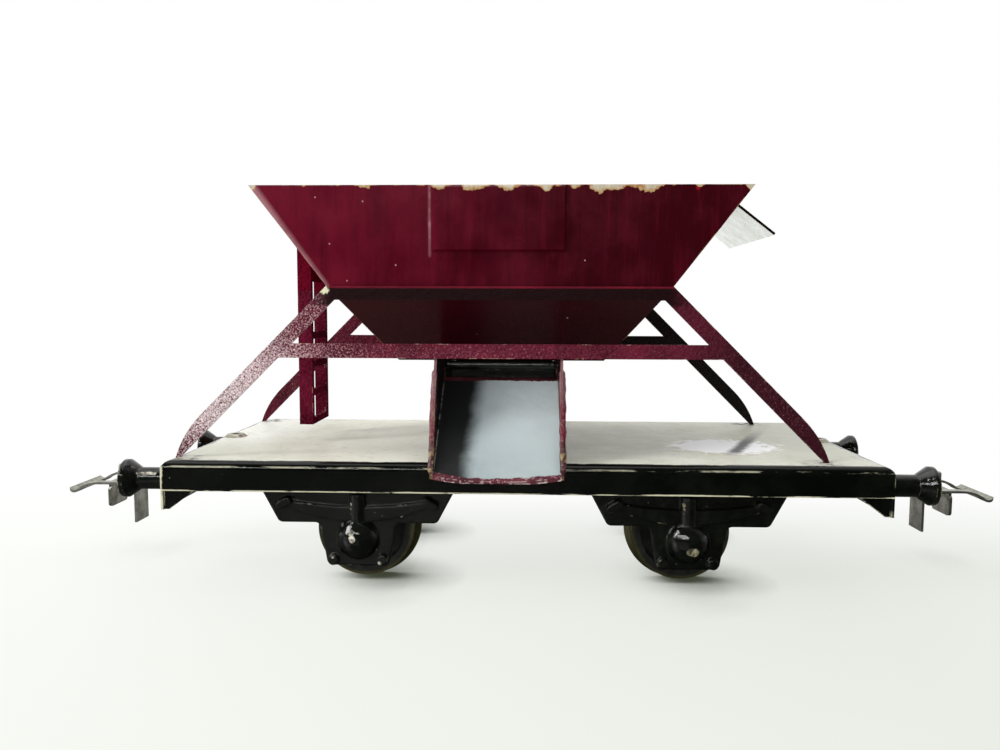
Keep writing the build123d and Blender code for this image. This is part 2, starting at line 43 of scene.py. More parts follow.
# ---- Small helpers ------------------------------------------------------------------------------
def linear(hex_colour):
    """An sRGB hex colour as linear red, green, blue and alpha."""
    channels = [int(hex_colour[i:i + 2], 16) / 255 for i in (1, 3, 5)]
    return [c / 12.92 if c <= 0.04045 else ((c + 0.055) / 1.055) ** 2.4 for c in channels] + [1.0]


def add(tree, kind, *values, out=0, **named):
    """Adds a shader node and gives its output called out. Values and links go to its inputs in order, or by
    name where the name has a capital; names in small letters are the node's own settings."""
    node = tree.nodes.new("ShaderNode" + kind)
    pairs = list(zip(node.inputs, values))
    for name, value in named.items():
        if name[0].islower():
            setattr(node, name, value)
        else:
            pairs.append((node.inputs[name.replace("_", " ")], value))
    for socket, value in pairs:
        if isinstance(value, bpy.types.NodeSocket):
            tree.links.new(value, socket)
        elif isinstance(value, str):
            socket.default_value = linear(value)
        else:
            socket.default_value = value
    return node.outputs[out] if node.outputs else None


def box_mm(node):
    """The lowest and the highest corner of a CAD node."""
    return [Vector(corner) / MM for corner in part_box(node)]


def new_finish(name):
    """An empty material, its node tree, and the place on the wagon."""
    material = bpy.data.materials.new(name)
    material.use_nodes = True
    tree = material.node_tree
    tree.nodes.clear()
    metres = add(tree, "TexCoord", out="Object")
    place = add(tree, "VectorMath", metres, (1 / MM, 1 / MM, 1 / MM), operation="MULTIPLY")
    return material, tree, place


def apart(tree, value, mark):
    """How far a value lies from a mark, on either side of it."""
    return add(tree, "Math", add(tree, "Math", value, mark, operation="SUBTRACT"), operation="ABSOLUTE")


def specks(tree, place, spacing, radius, share):
    """Dots of dust, rust or spatter with a radius, on a share of the places that lie spacing apart. Real ones
    are about 0.1 mm across and would not show, so they are drawn two to four times as large."""
    cells = add(tree, "TexVoronoi", place, Scale=1 / spacing)
    rim = radius / spacing
    dot = add(tree, "MapRange", cells, rim, 0.5 * rim, interpolation_type="SMOOTHSTEP")
    pick = add(tree, "SeparateXYZ", cells.node.outputs["Color"])
    kept = add(tree, "Math", pick, 1 - share, operation="GREATER_THAN")
    return add(tree, "Math", dot, kept, operation="MULTIPLY")


def rubbed_edges(tree, place, reach, patch, share):
    """Corners and sheet edges where the paint is rubbed through: how far in it reaches, the size of a rubbed
    patch, and from 0 to 1 how much of the edge has gone."""
    rounded = add(tree, "Bevel", reach * MM, samples=6)
    flat = add(tree, "NewGeometry", out="Normal")
    turn = add(tree, "VectorMath", rounded, flat, operation="DOT_PRODUCT", out="Value")
    edge = add(tree, "MapRange", turn, 0.985, 0.86)
    broken = add(tree, "TexNoise", place, Scale=1 / patch, Detail=4.0, Roughness=0.65)
    held = 0.62 - 0.3 * share
    worn = add(tree, "MapRange", broken, held, held + 0.06)
    return add(tree, "Math", edge, worn, operation="MULTIPLY")


def ragged(tree, place, distance, edge, wander):
    """0 where a distance is below an edge and 1 above it, along a brushed line that wanders either way."""
    slow = add(tree, "TexNoise", place, Scale=1 / 6, Detail=4.0, Roughness=0.7)
    shift = add(tree, "MapRange", slow, 0.3, 0.7, -wander, wander)
    moved = add(tree, "Math", distance, shift, operation="ADD")
    soft = 0.12
    return add(tree, "MapRange", moved, edge - soft, edge + soft, interpolation_type="SMOOTHSTEP")


def dress(material, *names):
    """Gives CAD nodes this finish."""
    for name in names:
        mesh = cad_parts[name].data
        mesh.materials.clear()
        mesh.materials.append(material)


# ---- Finishes -----------------------------------------------------------------------------------
def rim_chips(tree, x, down, bite, low, high):
    """How far a point lies inside the chips along the hopper's rim, where down is its way down from the rim and
    bite the noise that breaks it. They are deepest near the middle, and the corner tips are knocked off too."""
    chips_x, half = 4.0, (high.x - low.x) / 2
    share = add(tree, "MapRange", apart(tree, x, chips_x), 27.0, 20.0, -0.56, -0.4)
    from_middle = apart(tree, x, (low.x + high.x) / 2)
    tips = add(tree, "MapRange", from_middle, half - 1.8, half - 0.8, 0.0, 0.4)
    deep = add(tree, "Math", add(tree, "Math", bite, share, operation="ADD"), tips, operation="ADD")
    return add(tree, "Math", add(tree, "Math", deep, 6.0, operation="MULTIPLY"), down, operation="SUBTRACT")


def gloss_maroon():
    """Alkyd enamel, brushed on tinplate: deep red with a wet gloss, uneven where it ran, chipped along the rim
    and peppered with dust."""
    material, tree, place = new_finish("gloss maroon enamel")
    x, y, z = add(tree, "SeparateXYZ", place).node.outputs
    low, high = box_mm("hopper_side_front")
    down = add(tree, "Math", high.z, z, operation="SUBTRACT")
    knee = box_mm("side_frame_front")[1].z - 1.0       # where the sides turn inwards

    # Colour: clouds 14 mm across, with painted light brighter towards the left, where the window is; runs 1.8
    # mm wide and streaks 6 mm wide down the sides; painted shade, darker below the knee, where the sides face
    # down
    clouds = add(tree, "TexNoise", place, Scale=1 / 14, Detail=4.0, Roughness=0.6)
    # Painted light: the tone rises towards the left, where the window is
    left = add(tree, "MapRange", x, -36.0, 12.0, 0.22, -0.3)
    tone = add(tree, "Math", clouds, left, operation="ADD")
    colour = add(tree, "MixRGB", add(tree, "MapRange", tone, 0.2, 0.76), "#34010a", "#5f0a20")
    drawn = add(tree, "VectorMath", place, (1.0, 1.0, 0.1), operation="MULTIPLY")
    runs = add(tree, "TexNoise", drawn, Scale=1 / 1.8, Detail=4.0, Roughness=0.6)
    colour = add(tree, "MixRGB", add(tree, "MapRange", runs, 0.52, 0.8, 0.0, 0.4), colour, "#6a0f26")
    colour = add(tree, "MixRGB", add(tree, "MapRange", runs, 0.46, 0.2, 0.0, 0.7), colour, "#2a0208")
    streaks = add(tree, "TexNoise", add(tree, "VectorMath", drawn, (1.0, 1.0, 3.0), operation="MULTIPLY"),
                  Scale=1 / 6, Detail=3.0)
    colour = add(tree, "MixRGB", add(tree, "MapRange", streaks, 0.52, 0.72, 0.0, 0.55), colour, "#390312")
    # Painted shade: below the knee the sides face down and are drawn darker
    painted_shade_below_knee = add(tree, "MapRange", z, knee + 0.5, knee - 0.5, 0.0, 0.9, interpolation_type="SMOOTHSTEP")
    colour = add(tree, "MixRGB", painted_shade_below_knee, colour, "#28060c")

    # Pale dust, and short hooked scratches 2 mm long
    dust = specks(tree, place, 3.0, 0.2, 0.2)
    curl = add(tree, "TexNoise", place, Scale=1 / 2.5, out="Color")
    hooked = add(tree, "VectorMath", curl, (5.0, 5.0, 5.0), place, operation="MULTIPLY_ADD")
    hooked = add(tree, "VectorMath", hooked, (1.0, 1.0, 0.22), operation="MULTIPLY")
    scratch = specks(tree, hooked, 4.5, 0.22, 0.13)
    marks = add(tree, "Math", dust, scratch, operation="MAXIMUM")
    colour = add(tree, "MixRGB", add(tree, "Math", marks, 0.6, operation="MULTIPLY"), colour, "#c79c9c")

    # Painted highlight, pinkish grey, along the left edge of the pressed panel and the sloping left edge, where
    # they catch the light
    panel_left, panel_depth, end_slope = -17.6, 13.2, 0.727
    bite = add(tree, "TexNoise", place, Scale=1 / 4.2, Detail=3.0, Roughness=0.6)
    ridge_highlight = add(tree, "MapRange", apart(tree, x, panel_left), 0.36, 0.1)
    ridge_highlight = add(tree, "Math", ridge_highlight, add(tree, "MapRange", down, panel_depth + 0.4, panel_depth - 0.4),
                operation="MULTIPLY")
    facing = add(tree, "SeparateXYZ", add(tree, "NewGeometry", out="True Normal"), out="Y")
    outward = add(tree, "Math", facing, y, operation="MULTIPLY")
    outward = add(tree, "Math", outward, 0.0, operation="GREATER_THAN")
    ridge_highlight = add(tree, "Math", ridge_highlight, outward, operation="MULTIPLY")
    ridge_highlight = add(tree, "Math", ridge_highlight, add(tree, "MapRange", bite, 0.4, 0.66, 0.3, 1.0), operation="MULTIPLY")
    slope = add(tree, "Math", down, end_slope, low.x, operation="MULTIPLY_ADD")
    slope = add(tree, "Math", x, slope, operation="SUBTRACT")
    slope = add(tree, "MapRange", slope, 1.9, 0.7, 0.0, 0.75)
    slope = add(tree, "Math", slope, add(tree, "MapRange", clouds, 0.3, 0.5), operation="MULTIPLY")
    thin = add(tree, "Math", ridge_highlight, slope, operation="MAXIMUM")
    thin = add(tree, "Math", thin, painted_shade_below_knee, operation="SUBTRACT", use_clamp=True)
    colour = add(tree, "MixRGB", thin, colour, "#a5747c")

    # One pale knock halfway down the side, and a fresh crimson one on the rim, right of the chips
    pale_knock = add(tree, "VectorMath", place, (6.2, -24.0, 65.5), operation="DISTANCE", out="Value")
    red_knock = add(tree, "VectorMath", place, (32.1, -24.5, 77.0), operation="DISTANCE", out="Value")
    knocks = add(tree, "Math", pale_knock, red_knock, operation="MINIMUM")
    knocks = add(tree, "MapRange", add(tree, "Math", knocks, bite, operation="ADD"), 1.3, 1.1)
    fresh = add(tree, "MixRGB", add(tree, "MapRange", x, 15.0, 25.0), "#cdb9b4", "#8c0618")
    colour = add(tree, "MixRGB", knocks, colour, fresh)

    # Chips along the rim: ochre primer, then bare tin. To both sides of them the edges are rubbed
    inside = rim_chips(tree, x, down, bite, low, high)
    chip = add(tree, "MapRange", inside, 0.0, 0.15)
    metal = add(tree, "MapRange", inside, 0.3, 0.8)
    unrubbed_x = -5.0
    edges = rubbed_edges(tree, place, 0.3, 4.0, 0.5)
    ends = add(tree, "MapRange", apart(tree, x, unrubbed_x), 16.0, 20.0)
    edges = add(tree, "Math", edges, ends, operation="MULTIPLY")
    colour = add(tree, "MixRGB", edges, colour, "#9c8768")
    primer = add(tree, "MixRGB", add(tree, "MapRange", bite, 0.4, 0.6), "#9a5f2c", "#a8885c")
    colour = add(tree, "MixRGB", chip, colour, primer)
    colour = add(tree, "MixRGB", metal, colour, add(tree, "MixRGB", runs, "#8f7a58", "#d2cdbf"))
    bare = add(tree, "Math", edges, chip, operation="MAXIMUM")

    # Gloss: brush ridges and shallow hollows, dulled where the paint is gone. Bristles leave ridges some 0.2 mm
    # apart, too fine to show, so they are drawn 0.5 mm apart
    ridges = add(tree, "TexNoise", drawn, Scale=1 / 0.5, Detail=2.0)
    height = add(tree, "Math", ridges, add(tree, "TexNoise", place, Scale=1 / 4.5, Detail=2.0), operation="ADD")
    height = add(tree, "Math", height, bare, operation="SUBTRACT")
    normal = add(tree, "Bump", Strength=0.35, Distance=0.12 * MM, Height=height)
    rough = add(tree, "MapRange", clouds, 0.3, 0.7, 0.18, 0.32)
    rough = add(tree, "MapRange", bare, 0.0, 1.0, rough, 0.6)
    shader = add(tree, "BsdfPrincipled", colour, Roughness=rough, Normal=normal, Specular_IOR_Level=0.08)
    add(tree, "OutputMaterial", shader)
    return material


def pebbled_maroon(name, glint, shine):
    """Thick enamel dabbed on over dust: a pebbled skin, with painted glints on the tops of its bumps. The rail
    along the hopper is smoother and darker, with a painted crimson highlight along its top edge. glint adds
    painted glints to the bumps, and shine is the gloss of the skin."""
    material, tree, place = new_finish(name)
    x, y, z = add(tree, "SeparateXYZ", place).node.outputs
    top = box_mm("side_frame_front")[1].z

    # Bumps 0.75 mm across with smaller ones between, and tone in clouds of 7 mm; painted shade, darker to the
    # right, away from the light
    grain = add(tree, "TexVoronoi", place, Scale=1 / 0.75, feature="SMOOTH_F1")
    small = add(tree, "TexNoise", place, Scale=1 / 0.4, Detail=2.0)
    clouds = add(tree, "TexNoise", place, Scale=1 / 7, Detail=3.0)
    colour = add(tree, "MixRGB", add(tree, "MapRange", clouds, 0.35, 0.65), "#450a1b", "#63162c")
    colour = add(tree, "MixRGB", add(tree, "MapRange", small, 0.5, 0.75, 0.0, 0.5), colour, "#75303e")
    # Painted shade: darker towards the right
    colour = add(tree, "MixRGB", add(tree, "MapRange", x, 24.0, 42.0, 0.0, 0.9), colour, "#330c18")

    # Painted glints on the tops of the bumps on the frames' outer faces, where the light falls: most on the
    # left leg above its foot, fewer above the crossbar, none on the right. A crest's glint is under 0.2 mm
    # across, and is drawn at 0.36 mm to show. Each row is a measure, its two ends, and what it adds to the
    # glints at each end
    painted_glints = add(tree, "TexNoise", place, Scale=1 / 0.36, Detail=3.0, Roughness=0.6)
    for row in ((x, -26.0, -52.0, -0.16, 0.02), (x, 30.0, -15.0, -0.1, 0.0),
                (z, 29.0, 33.0, -0.12, 0.0), (z, 43.5, 49.0, 0.0, -0.08),
                (clouds, 0.3, 0.7, glint - 0.015, glint + 0.015),
                (add(tree, "Math", y, operation="ABSOLUTE"), 25.1, 25.2, -0.3, 0.0)):
        painted_glints = add(tree, "Math", painted_glints, add(tree, "MapRange", *row), operation="ADD")
    painted_glints = add(tree, "MapRange", painted_glints, 0.46, 0.72, 0.0, 0.92)
    # The colour of the painted glints, whitest on the left leg
    pale = add(tree, "MixRGB", add(tree, "MapRange", x, -25.0, -55.0), "#b27482", "#e0d0d2")
    colour = add(tree, "MixRGB", painted_glints, colour, pale)
    edges = rubbed_edges(tree, place, 0.3, 3.0, 0.2)
    colour = add(tree, "MixRGB", edges, colour, "#b59a86")

    # Painted shade: the rear frame's right half is almost black inside, where the light does not reach
    facing = add(tree, "SeparateXYZ", add(tree, "NewGeometry", out="True Normal"), out="Y")
    inside = add(tree, "Math", add(tree, "Math", facing, -0.2, operation="LESS_THAN"),
                 add(tree, "Math", y, 0.0, operation="GREATER_THAN"), operation="MULTIPLY")
    painted_shade_back = add(tree, "Math", inside, add(tree, "MapRange", x, 6.0, 12.0), operation="MULTIPLY")
    colour = add(tree, "MixRGB", add(tree, "Math", painted_shade_back, 0.92, operation="MULTIPLY"), colour, "#131210")

    # Rail: smooth and dark between the knees, with a painted crimson highlight along its top edge and a bare
    # left corner
    inward = add(tree, "MapRange", apart(tree, x, HOPPER_X), 37.0, 31.5, interpolation_type="SMOOTHSTEP")
    on_rail = add(tree, "MapRange", z, top - 4.0, top - 3.4)
    rail = add(tree, "Math", inward, on_rail, operation="MULTIPLY")
    colour = add(tree, "MixRGB", rail, colour, "#1c0508")
    # Painted highlight: the rail's top edge, where it catches the light, is drawn crimson
    lip = add(tree, "MapRange", z, top - 0.5, top - 0.25)
    colour = add(tree, "MixRGB", lip, colour, add(tree, "MixRGB", clouds, "#3c0412", "#7a1029"))
    corner = add(tree, "VectorMath", place, (-37.6, -25.5, top - 0.6), operation="DISTANCE", out="Value")
    corner = add(tree, "MapRange", add(tree, "Math", corner, small, operation="ADD"), 1.5, 1.25)
    colour = add(tree, "MixRGB", corner, colour, "#d8d2b4")

    height = add(tree, "Math", grain, small, operation="SUBTRACT")
    height = add(tree, "Math", height, add(tree, "MapRange", rail, 0.0, 1.0, 1.0, 0.15), operation="MULTIPLY")
    normal = add(tree, "Bump", Strength=0.8, Distance=0.35 * MM, Height=height)
    shader = add(tree, "BsdfPrincipled", colour, Roughness=0.38, Normal=normal, Specular_IOR_Level=shine)
    add(tree, "OutputMaterial", shader)
    return material


def chute_grey():
    """Blue-grey enamel on tinplate, rubbed pale in patches by its load, with painted light and shade on it and
    a painted shadow along its left wall, and maroon brushed over its lip and underside.
    """
    material, tree, place = new_finish("blue-grey enamel")
    x, y, _ = add(tree, "SeparateXYZ", place).node.outputs
    low, high = box_mm("chute_floor")
    middle, lip = (low.x + high.x) / 2, high.y
    left_wall = middle - 11.7
    reach = add(tree, "Math", y, operation="ABSOLUTE")

    # Colour: painted light and shade, lighter towards the top and the right and darker towards the left and the
    # lip;
    # rubbed patches of 5 mm, with dark dots and chalky ones
    across = add(tree, "MapRange", x, middle - 11, middle + 12)
    clouds = add(tree, "TexNoise", place, Scale=1 / 5, Detail=5.0, Roughness=0.65)
    # This mask is painted light and shade down the slope: lighter near the top, darker towards the lip
    worn = add(tree, "MapRange", reach, 14.0, 32.0)
    colour = add(tree, "MixRGB", worn, add(tree, "MixRGB", across, "#bfcbd0", "#e6f0f2"),
                 add(tree, "MixRGB", across, "#919da1", "#a9b5b7"))
    colour = add(tree, "MixRGB", add(tree, "MapRange", clouds, 0.4, 0.75, 0.0, 0.5), colour, "#b9c1bf")
    dots = specks(tree, place, 4.0, 0.2, 0.14)
    colour = add(tree, "MixRGB", dots, colour, "#3b3d3c")
    chalk = specks(tree, place, 2.2, 0.2, 0.10)
    colour = add(tree, "MixRGB", chalk, colour, "#e3e6e3")

    # Painted shadow that the left wall casts on the floor, widest under the outlet
    side = add(tree, "MapRange", reach, 13.0, 33.0, 7.4, 5.6)
    side = add(tree, "Math", add(tree, "Math", x, left_wall, operation="SUBTRACT"), side, operation="SUBTRACT")
    side = add(tree, "Math", clouds, 2.0, side, operation="MULTIPLY_ADD")
    painted_wall_shade = add(tree, "MapRange", side, 3.3, -0.6, 0.0, 0.98, interpolation_type="SMOOTHSTEP")
    colour = add(tree, "MixRGB", painted_wall_shade, colour, "#0c0d0a")

    # Maroon: the underside, the sheet's edge, a thin bead along the bowed lip and drips from the door
    lip_bow = 0.0073
    off_middle = add(tree, "Math", x, middle, operation="SUBTRACT")
    bow = add(tree, "Math", off_middle, off_middle, operation="MULTIPLY")
    bowed = add(tree, "Math", bow, lip_bow, reach, operation="MULTIPLY_ADD")
    from_lip = add(tree, "Math", bowed, lip, operation="SUBTRACT")
    bead = ragged(tree, place, from_lip, -0.75, 0.35)
    top = add(tree, "MapRange", reach, 13.0, 12.0)
    drips = add(tree, "TexNoise", add(tree, "VectorMath", place, (1.0, 0.35, 0.35), operation="MULTIPLY"),
                Scale=1 / 2.2, Detail=4.0, Roughness=0.7)
    spray = add(tree, "MapRange", add(tree, "Math", top, drips, operation="ADD"), 1.0, 1.08)
    facing = add(tree, "SeparateXYZ", add(tree, "NewGeometry", out="Normal"), out="Z")
    under = add(tree, "Math", facing, 0.35, operation="LESS_THAN")
    maroon = add(tree, "Math", bead, add(tree, "Math", spray, under, operation="MAXIMUM"), operation="MAXIMUM")
    paint = add(tree, "MixRGB", add(tree, "MapRange", clouds, 0.35, 0.7), "#421520", "#6a2c38")
    crumbs = add(tree, "TexNoise", place, Scale=1 / 0.5, Detail=2.0)
    crumbs = add(tree, "Math", add(tree, "MapRange", crumbs, 0.58, 0.68), bead, operation="MULTIPLY")
    paint = add(tree, "MixRGB", crumbs, paint, "#b9969a")
    colour = add(tree, "MixRGB", maroon, colour, paint)
    chips = rubbed_edges(tree, place, 0.45, 2.0, 0.5)
    colour = add(tree, "MixRGB", chips, colour, "#cfc0ba")

    # Dents of about 0.9 mm from the load, and the step up to the maroon
    grit = add(tree, "TexNoise", place, Scale=1 / 0.9, Detail=3.0)
    height = add(tree, "Math", grit, maroon, operation="ADD")
    normal = add(tree, "Bump", Strength=0.3, Distance=0.15 * MM, Height=height)
    shader = add(tree, "BsdfPrincipled", colour, Roughness=0.45, Normal=normal, Specular_IOR_Level=0.2)
    add(tree, "OutputMaterial", shader)
    return material


def chute_edges():
    """Maroon brushed thickly over the raw edges of the chute walls: dusty pink near the top, crimson below, and
    knocked off near the lip down to ochre primer and tin."""
    material, tree, place = new_finish("chipped maroon enamel")
    x, y, z = add(tree, "SeparateXYZ", place).node.outputs

    # Dabs of the brush 2.4 mm across, with dust of 0.4 mm in them
    clouds = add(tree, "TexNoise", place, Scale=1 / 2.4, Detail=5.0, Roughness=0.7)
    fine = add(tree, "TexNoise", place, Scale=1 / 0.4, Detail=2.0)
    top = add(tree, "Math", clouds, 8.0, z, operation="MULTIPLY_ADD")
    colour = add(tree, "MixRGB", add(tree, "MapRange", top, 39.0, 43.0), "#5f0c20", "#70474e")
    foot = add(tree, "MapRange", top, 35.0, 33.0)
    colour = add(tree, "MixRGB", foot, colour, "#3a1414")
    colour = add(tree, "MixRGB", add(tree, "MapRange", fine, 0.52, 0.68, 0.0, 0.6), colour, "#98666e")
    chips = add(tree, "Math", foot, add(tree, "MapRange", clouds, 0.55, 0.6), operation="MULTIPLY")
    chips = add(tree, "Math", chips, rubbed_edges(tree, place, 0.4, 2.5, 0.4), operation="MAXIMUM")
    colour = add(tree, "MixRGB", chips, colour, add(tree, "MixRGB", clouds, "#4a3a20", "#a08a62"))

    # Away from the sloping edge, along which Z + steepness * |Y| is edge, the walls are plain dark maroon
    steepness, edge = 2.34, 101.7
    reach = add(tree, "Math", y, operation="ABSOLUTE")
    inner = add(tree, "Math", reach, steepness, z, operation="MULTIPLY_ADD")
    inner = add(tree, "MapRange", inner, edge - 2.1, edge - 3.3)
    colour = add(tree, "MixRGB", inner, colour, "#22070c")

    # Painted shade on the inside of the left wall, as on the floor beside it
    low, high = box_mm("chute_floor")
    middle = (low.x + high.x) / 2
    facing = add(tree, "SeparateXYZ", add(tree, "NewGeometry", out="True Normal"))
    painted_wall_shade = add(tree, "Math", add(tree, "Math", facing, 0.6, operation="GREATER_THAN"),
               add(tree, "Math", x, middle, operation="LESS_THAN"), operation="MULTIPLY")
    colour = add(tree, "MixRGB", painted_wall_shade, colour, "#15110f")
    normal = add(tree, "Bump", Strength=0.6, Distance=0.2 * MM, Height=fine)
    shader = add(tree, "BsdfPrincipled", colour, Roughness=0.35, Normal=normal, Specular_IOR_Level=0.3)
    add(tree, "OutputMaterial", shader)
    return material


def cream_deck(tree, place, from_y, clouds, grime):
    """Cream-grey enamel sprayed on the deck: mottled, duller at both ends, bleaching round the left rivet, lit
    with painted light in the hopper's shade, and smudged by years of handling. from_y is the way in from the
    long sides."""
    x, y, _ = add(tree, "SeparateXYZ", place).node.outputs
    cream = add(tree, "MixRGB", add(tree, "MapRange", clouds, 0.35, 0.7), "#cac9b5", "#e0e0d2")
    left = add(tree, "Math", clouds, 14.0, x, operation="MULTIPLY_ADD")
    cream = add(tree, "MixRGB", add(tree, "MapRange", left, -40.0, -54.0, 0.0, 0.75), cream, "#c3c4b5")
    cream = add(tree, "MixRGB", add(tree, "MapRange", x, 44.0, 56.0, 0.0, 0.6), cream, "#babcae")

    # Bleached round the left rivet; halfway between the ladder and the chute, painted light where the hopper's
    # shade falls
    halfway_x = -31.0
    bleach_and_painted_light = add(tree, "Math", add(tree, "MapRange", x, -48.0, -58.0, 0.0, 0.75),
                   add(tree, "MapRange", y, -14.0, 0.0), operation="MULTIPLY")
    cream = add(tree, "MixRGB", bleach_and_painted_light, cream, "#f1f2ea")
    # Painted light: lightens the deck where the hopper's shade lies
    bleach_and_painted_light = add(tree, "MapRange", apart(tree, x, halfway_x), 17.0, 8.0, 0.0, 0.55)
    cream = add(tree, "MixRGB", bleach_and_painted_light, cream, "#f0efdd")

    # Grime in smudges and in spots
    cream = add(tree, "MixRGB", add(tree, "MapRange", grime, 0.54, 0.8, 0.0, 0.6), cream, "#858473")
    spots = specks(tree, place, 3.4, 0.2, 0.3)
    cream = add(tree, "MixRGB", add(tree, "Math", spots, 0.6, operation="MULTIPLY"), cream, "#6e6a5a")

    # Right of the chute: an oval patch almost white, and a leaning dark smear across it
    patch_middle, patch_reach = (42.0, -8.0, 0.0), (11.5, 9.0)
    smear_x, smear_lean = 49.4, 0.45
    patch = add(tree, "VectorMath", add(tree, "VectorMath", place, patch_middle, operation="SUBTRACT"),
                (1 / patch_reach[0], 1 / patch_reach[1], 0.0), operation="MULTIPLY")
    patch = add(tree, "VectorMath", patch, operation="LENGTH", out="Value")
    patch = add(tree, "Math", grime, 1.8, patch, operation="MULTIPLY_ADD")
    cream = add(tree, "MixRGB", add(tree, "MapRange", patch, 1.9, 1.75), cream, "#ffffff")
    smear = apart(tree, add(tree, "Math", y, -smear_lean, x, operation="MULTIPLY_ADD"), smear_x)
    smear = add(tree, "Math", grime, 2.6, smear, operation="MULTIPLY_ADD")
    smear = add(tree, "MapRange", smear, 3.6, 1.7, 0.0, 0.95, interpolation_type="SMOOTHSTEP")
    reach = add(tree, "MapRange", y, -19.0, -14.0)
    reach = add(tree, "Math", reach, add(tree, "MapRange", y, 14.0, -2.0, 0.12, 1.0), operation="MULTIPLY")
    cream = add(tree, "MixRGB", add(tree, "Math", smear, reach, operation="MULTIPLY"), cream, "#1d1e1d")

    # The frames' feet have scraped the deck
    foot_x = 60.5            # from the hopper's middle
    feet = add(tree, "MapRange", apart(tree, apart(tree, x, HOPPER_X), foot_x), 4.0, 2.0)
    feet = add(tree, "Math", feet, add(tree, "MapRange", from_y, 7.5, 5.5), operation="MULTIPLY")
    feet = add(tree, "Math", feet, add(tree, "MapRange", grime, 0.46, 0.54), operation="MULTIPLY")
    return add(tree, "MixRGB", feet, cream, "#4a493f")


def black_chassis():
    """Stoved black enamel on tinplate, glossy and rubbed to bright tin on the folds, the deck between them
    cream-grey inside a brushed black border, and a painted highlight up the sills' left ends."""
    material, tree, place = new_finish("stoved black enamel")
    x, y, z = add(tree, "SeparateXYZ", place).node.outputs
    high = box_mm("platform")[1]
    sill = high.z - 5.6      # the lower edge of the folded sides
    from_x = add(tree, "Math", high.x, add(tree, "Math", x, operation="ABSOLUTE"), operation="SUBTRACT")
    from_y = add(tree, "Math", high.y, add(tree, "Math", y, operation="ABSOLUTE"), operation="SUBTRACT")

    # Black, with a little green in it in clouds of 9 mm, and dust. Grime lies in smudges of 2.2 mm
    clouds = add(tree, "TexNoise", place, Scale=1 / 9, Detail=5.0, Roughness=0.65)
    grime = add(tree, "TexNoise", place, Scale=1 / 2.2, Detail=6.0, Roughness=0.75)
    black = add(tree, "MixRGB", add(tree, "MapRange", clouds, 0.45, 0.8), "#030503", "#12140f")
    dust = specks(tree, place, 2.0, 0.14, 0.14)
    black = add(tree, "MixRGB", add(tree, "Math", dust, 0.5, operation="MULTIPLY"), black, "#8e8d80")

    # A black border 1.7 mm wide, brushed by hand round the deck
    from_edge = add(tree, "Math", from_x, from_y, operation="MINIMUM")
    border = ragged(tree, place, from_edge, 1.7, 0.5)
    on_top = add(tree, "Math", z, high.z - 0.08, operation="GREATER_THAN")
    deck = add(tree, "Math", border, on_top, operation="MULTIPLY")
    colour = add(tree, "MixRGB", deck, black, cream_deck(tree, place, from_y, clouds, grime))

    # Bright lines: along the fold under the border and along the sills' lower edges, rubbed to tin, and up the
    # sills' left ends, a painted highlight where the light from the left catches them
    left_end = -high.x
    line = add(tree, "TexNoise", add(tree, "VectorMath", place, (0.22, 1.0, 1.0), operation="MULTIPLY"),
               Scale=1 / 2.6, Detail=5.0, Roughness=0.7)
    fold = add(tree, "MapRange", apart(tree, z, high.z - 0.95), 0.22, 0.06)
    fold = add(tree, "Math", fold, add(tree, "MapRange", line, 0.5, 0.6, 0.0, 0.6), operation="MULTIPLY")
    outer = add(tree, "Math", from_y, 0.1, operation="LESS_THAN")
    above_sill = add(tree, "Math", z, sill, operation="SUBTRACT")
    foot = add(tree, "Math", line, -0.5, above_sill, operation="MULTIPLY_ADD")
    foot = add(tree, "Math", add(tree, "MapRange", foot, 0.02, -0.08), outer, operation="MULTIPLY")
    foot = add(tree, "Math", foot, add(tree, "Math", z, sill - 0.05, operation="GREATER_THAN"),
               operation="MULTIPLY")
    foot = add(tree, "Math", foot, add(tree, "MapRange", line, 0.44, 0.5), operation="MULTIPLY")
    left_end_highlight = add(tree, "Math", grime, 1.1, x, operation="MULTIPLY_ADD")
    left_end_highlight = add(tree, "MapRange", left_end_highlight, left_end + 1.05, left_end + 0.8)
    left_end_highlight = add(tree, "Math", left_end_highlight, outer, operation="MULTIPLY")
    # Rubbed edges, and the painted highlight up the left ends
    rubbed = add(tree, "Math", rubbed_edges(tree, place, 0.3, 4.0, 0.5), left_end_highlight, operation="MAXIMUM")
    bare = add(tree, "Math", add(tree, "Math", fold, foot, operation="MAXIMUM"), rubbed, operation="MAXIMUM")
    bare = add(tree, "Math", bare, add(tree, "Math", 1.0, deck, operation="SUBTRACT"), operation="MULTIPLY")
    colour = add(tree, "MixRGB", bare, colour, "#c9c6ac")

    # Gloss: the enamel ripples every 3.5 mm, the cream coat stands on it, and the folds are soft
    ripple = add(tree, "TexNoise", place, Scale=1 / 3.5, Detail=3.0)
    height = add(tree, "Math", ripple, deck, operation="ADD")
    soft = add(tree, "Bevel", 0.35 * MM, samples=6)
    normal = add(tree, "Bump", Strength=0.3, Distance=0.15 * MM, Height=height, Normal=soft)
    rough = add(tree, "MapRange", deck, 0.0, 1.0, add(tree, "MapRange", clouds, 0.3, 0.7, 0.06, 0.16), 0.4)
    rough = add(tree, "MapRange", bare, 0.0, 1.0, rough, 0.45)
    shader = add(tree, "BsdfPrincipled", colour, Roughness=rough, Normal=normal, Specular_IOR_Level=0.25)
    add(tree, "OutputMaterial", shader)
    return material


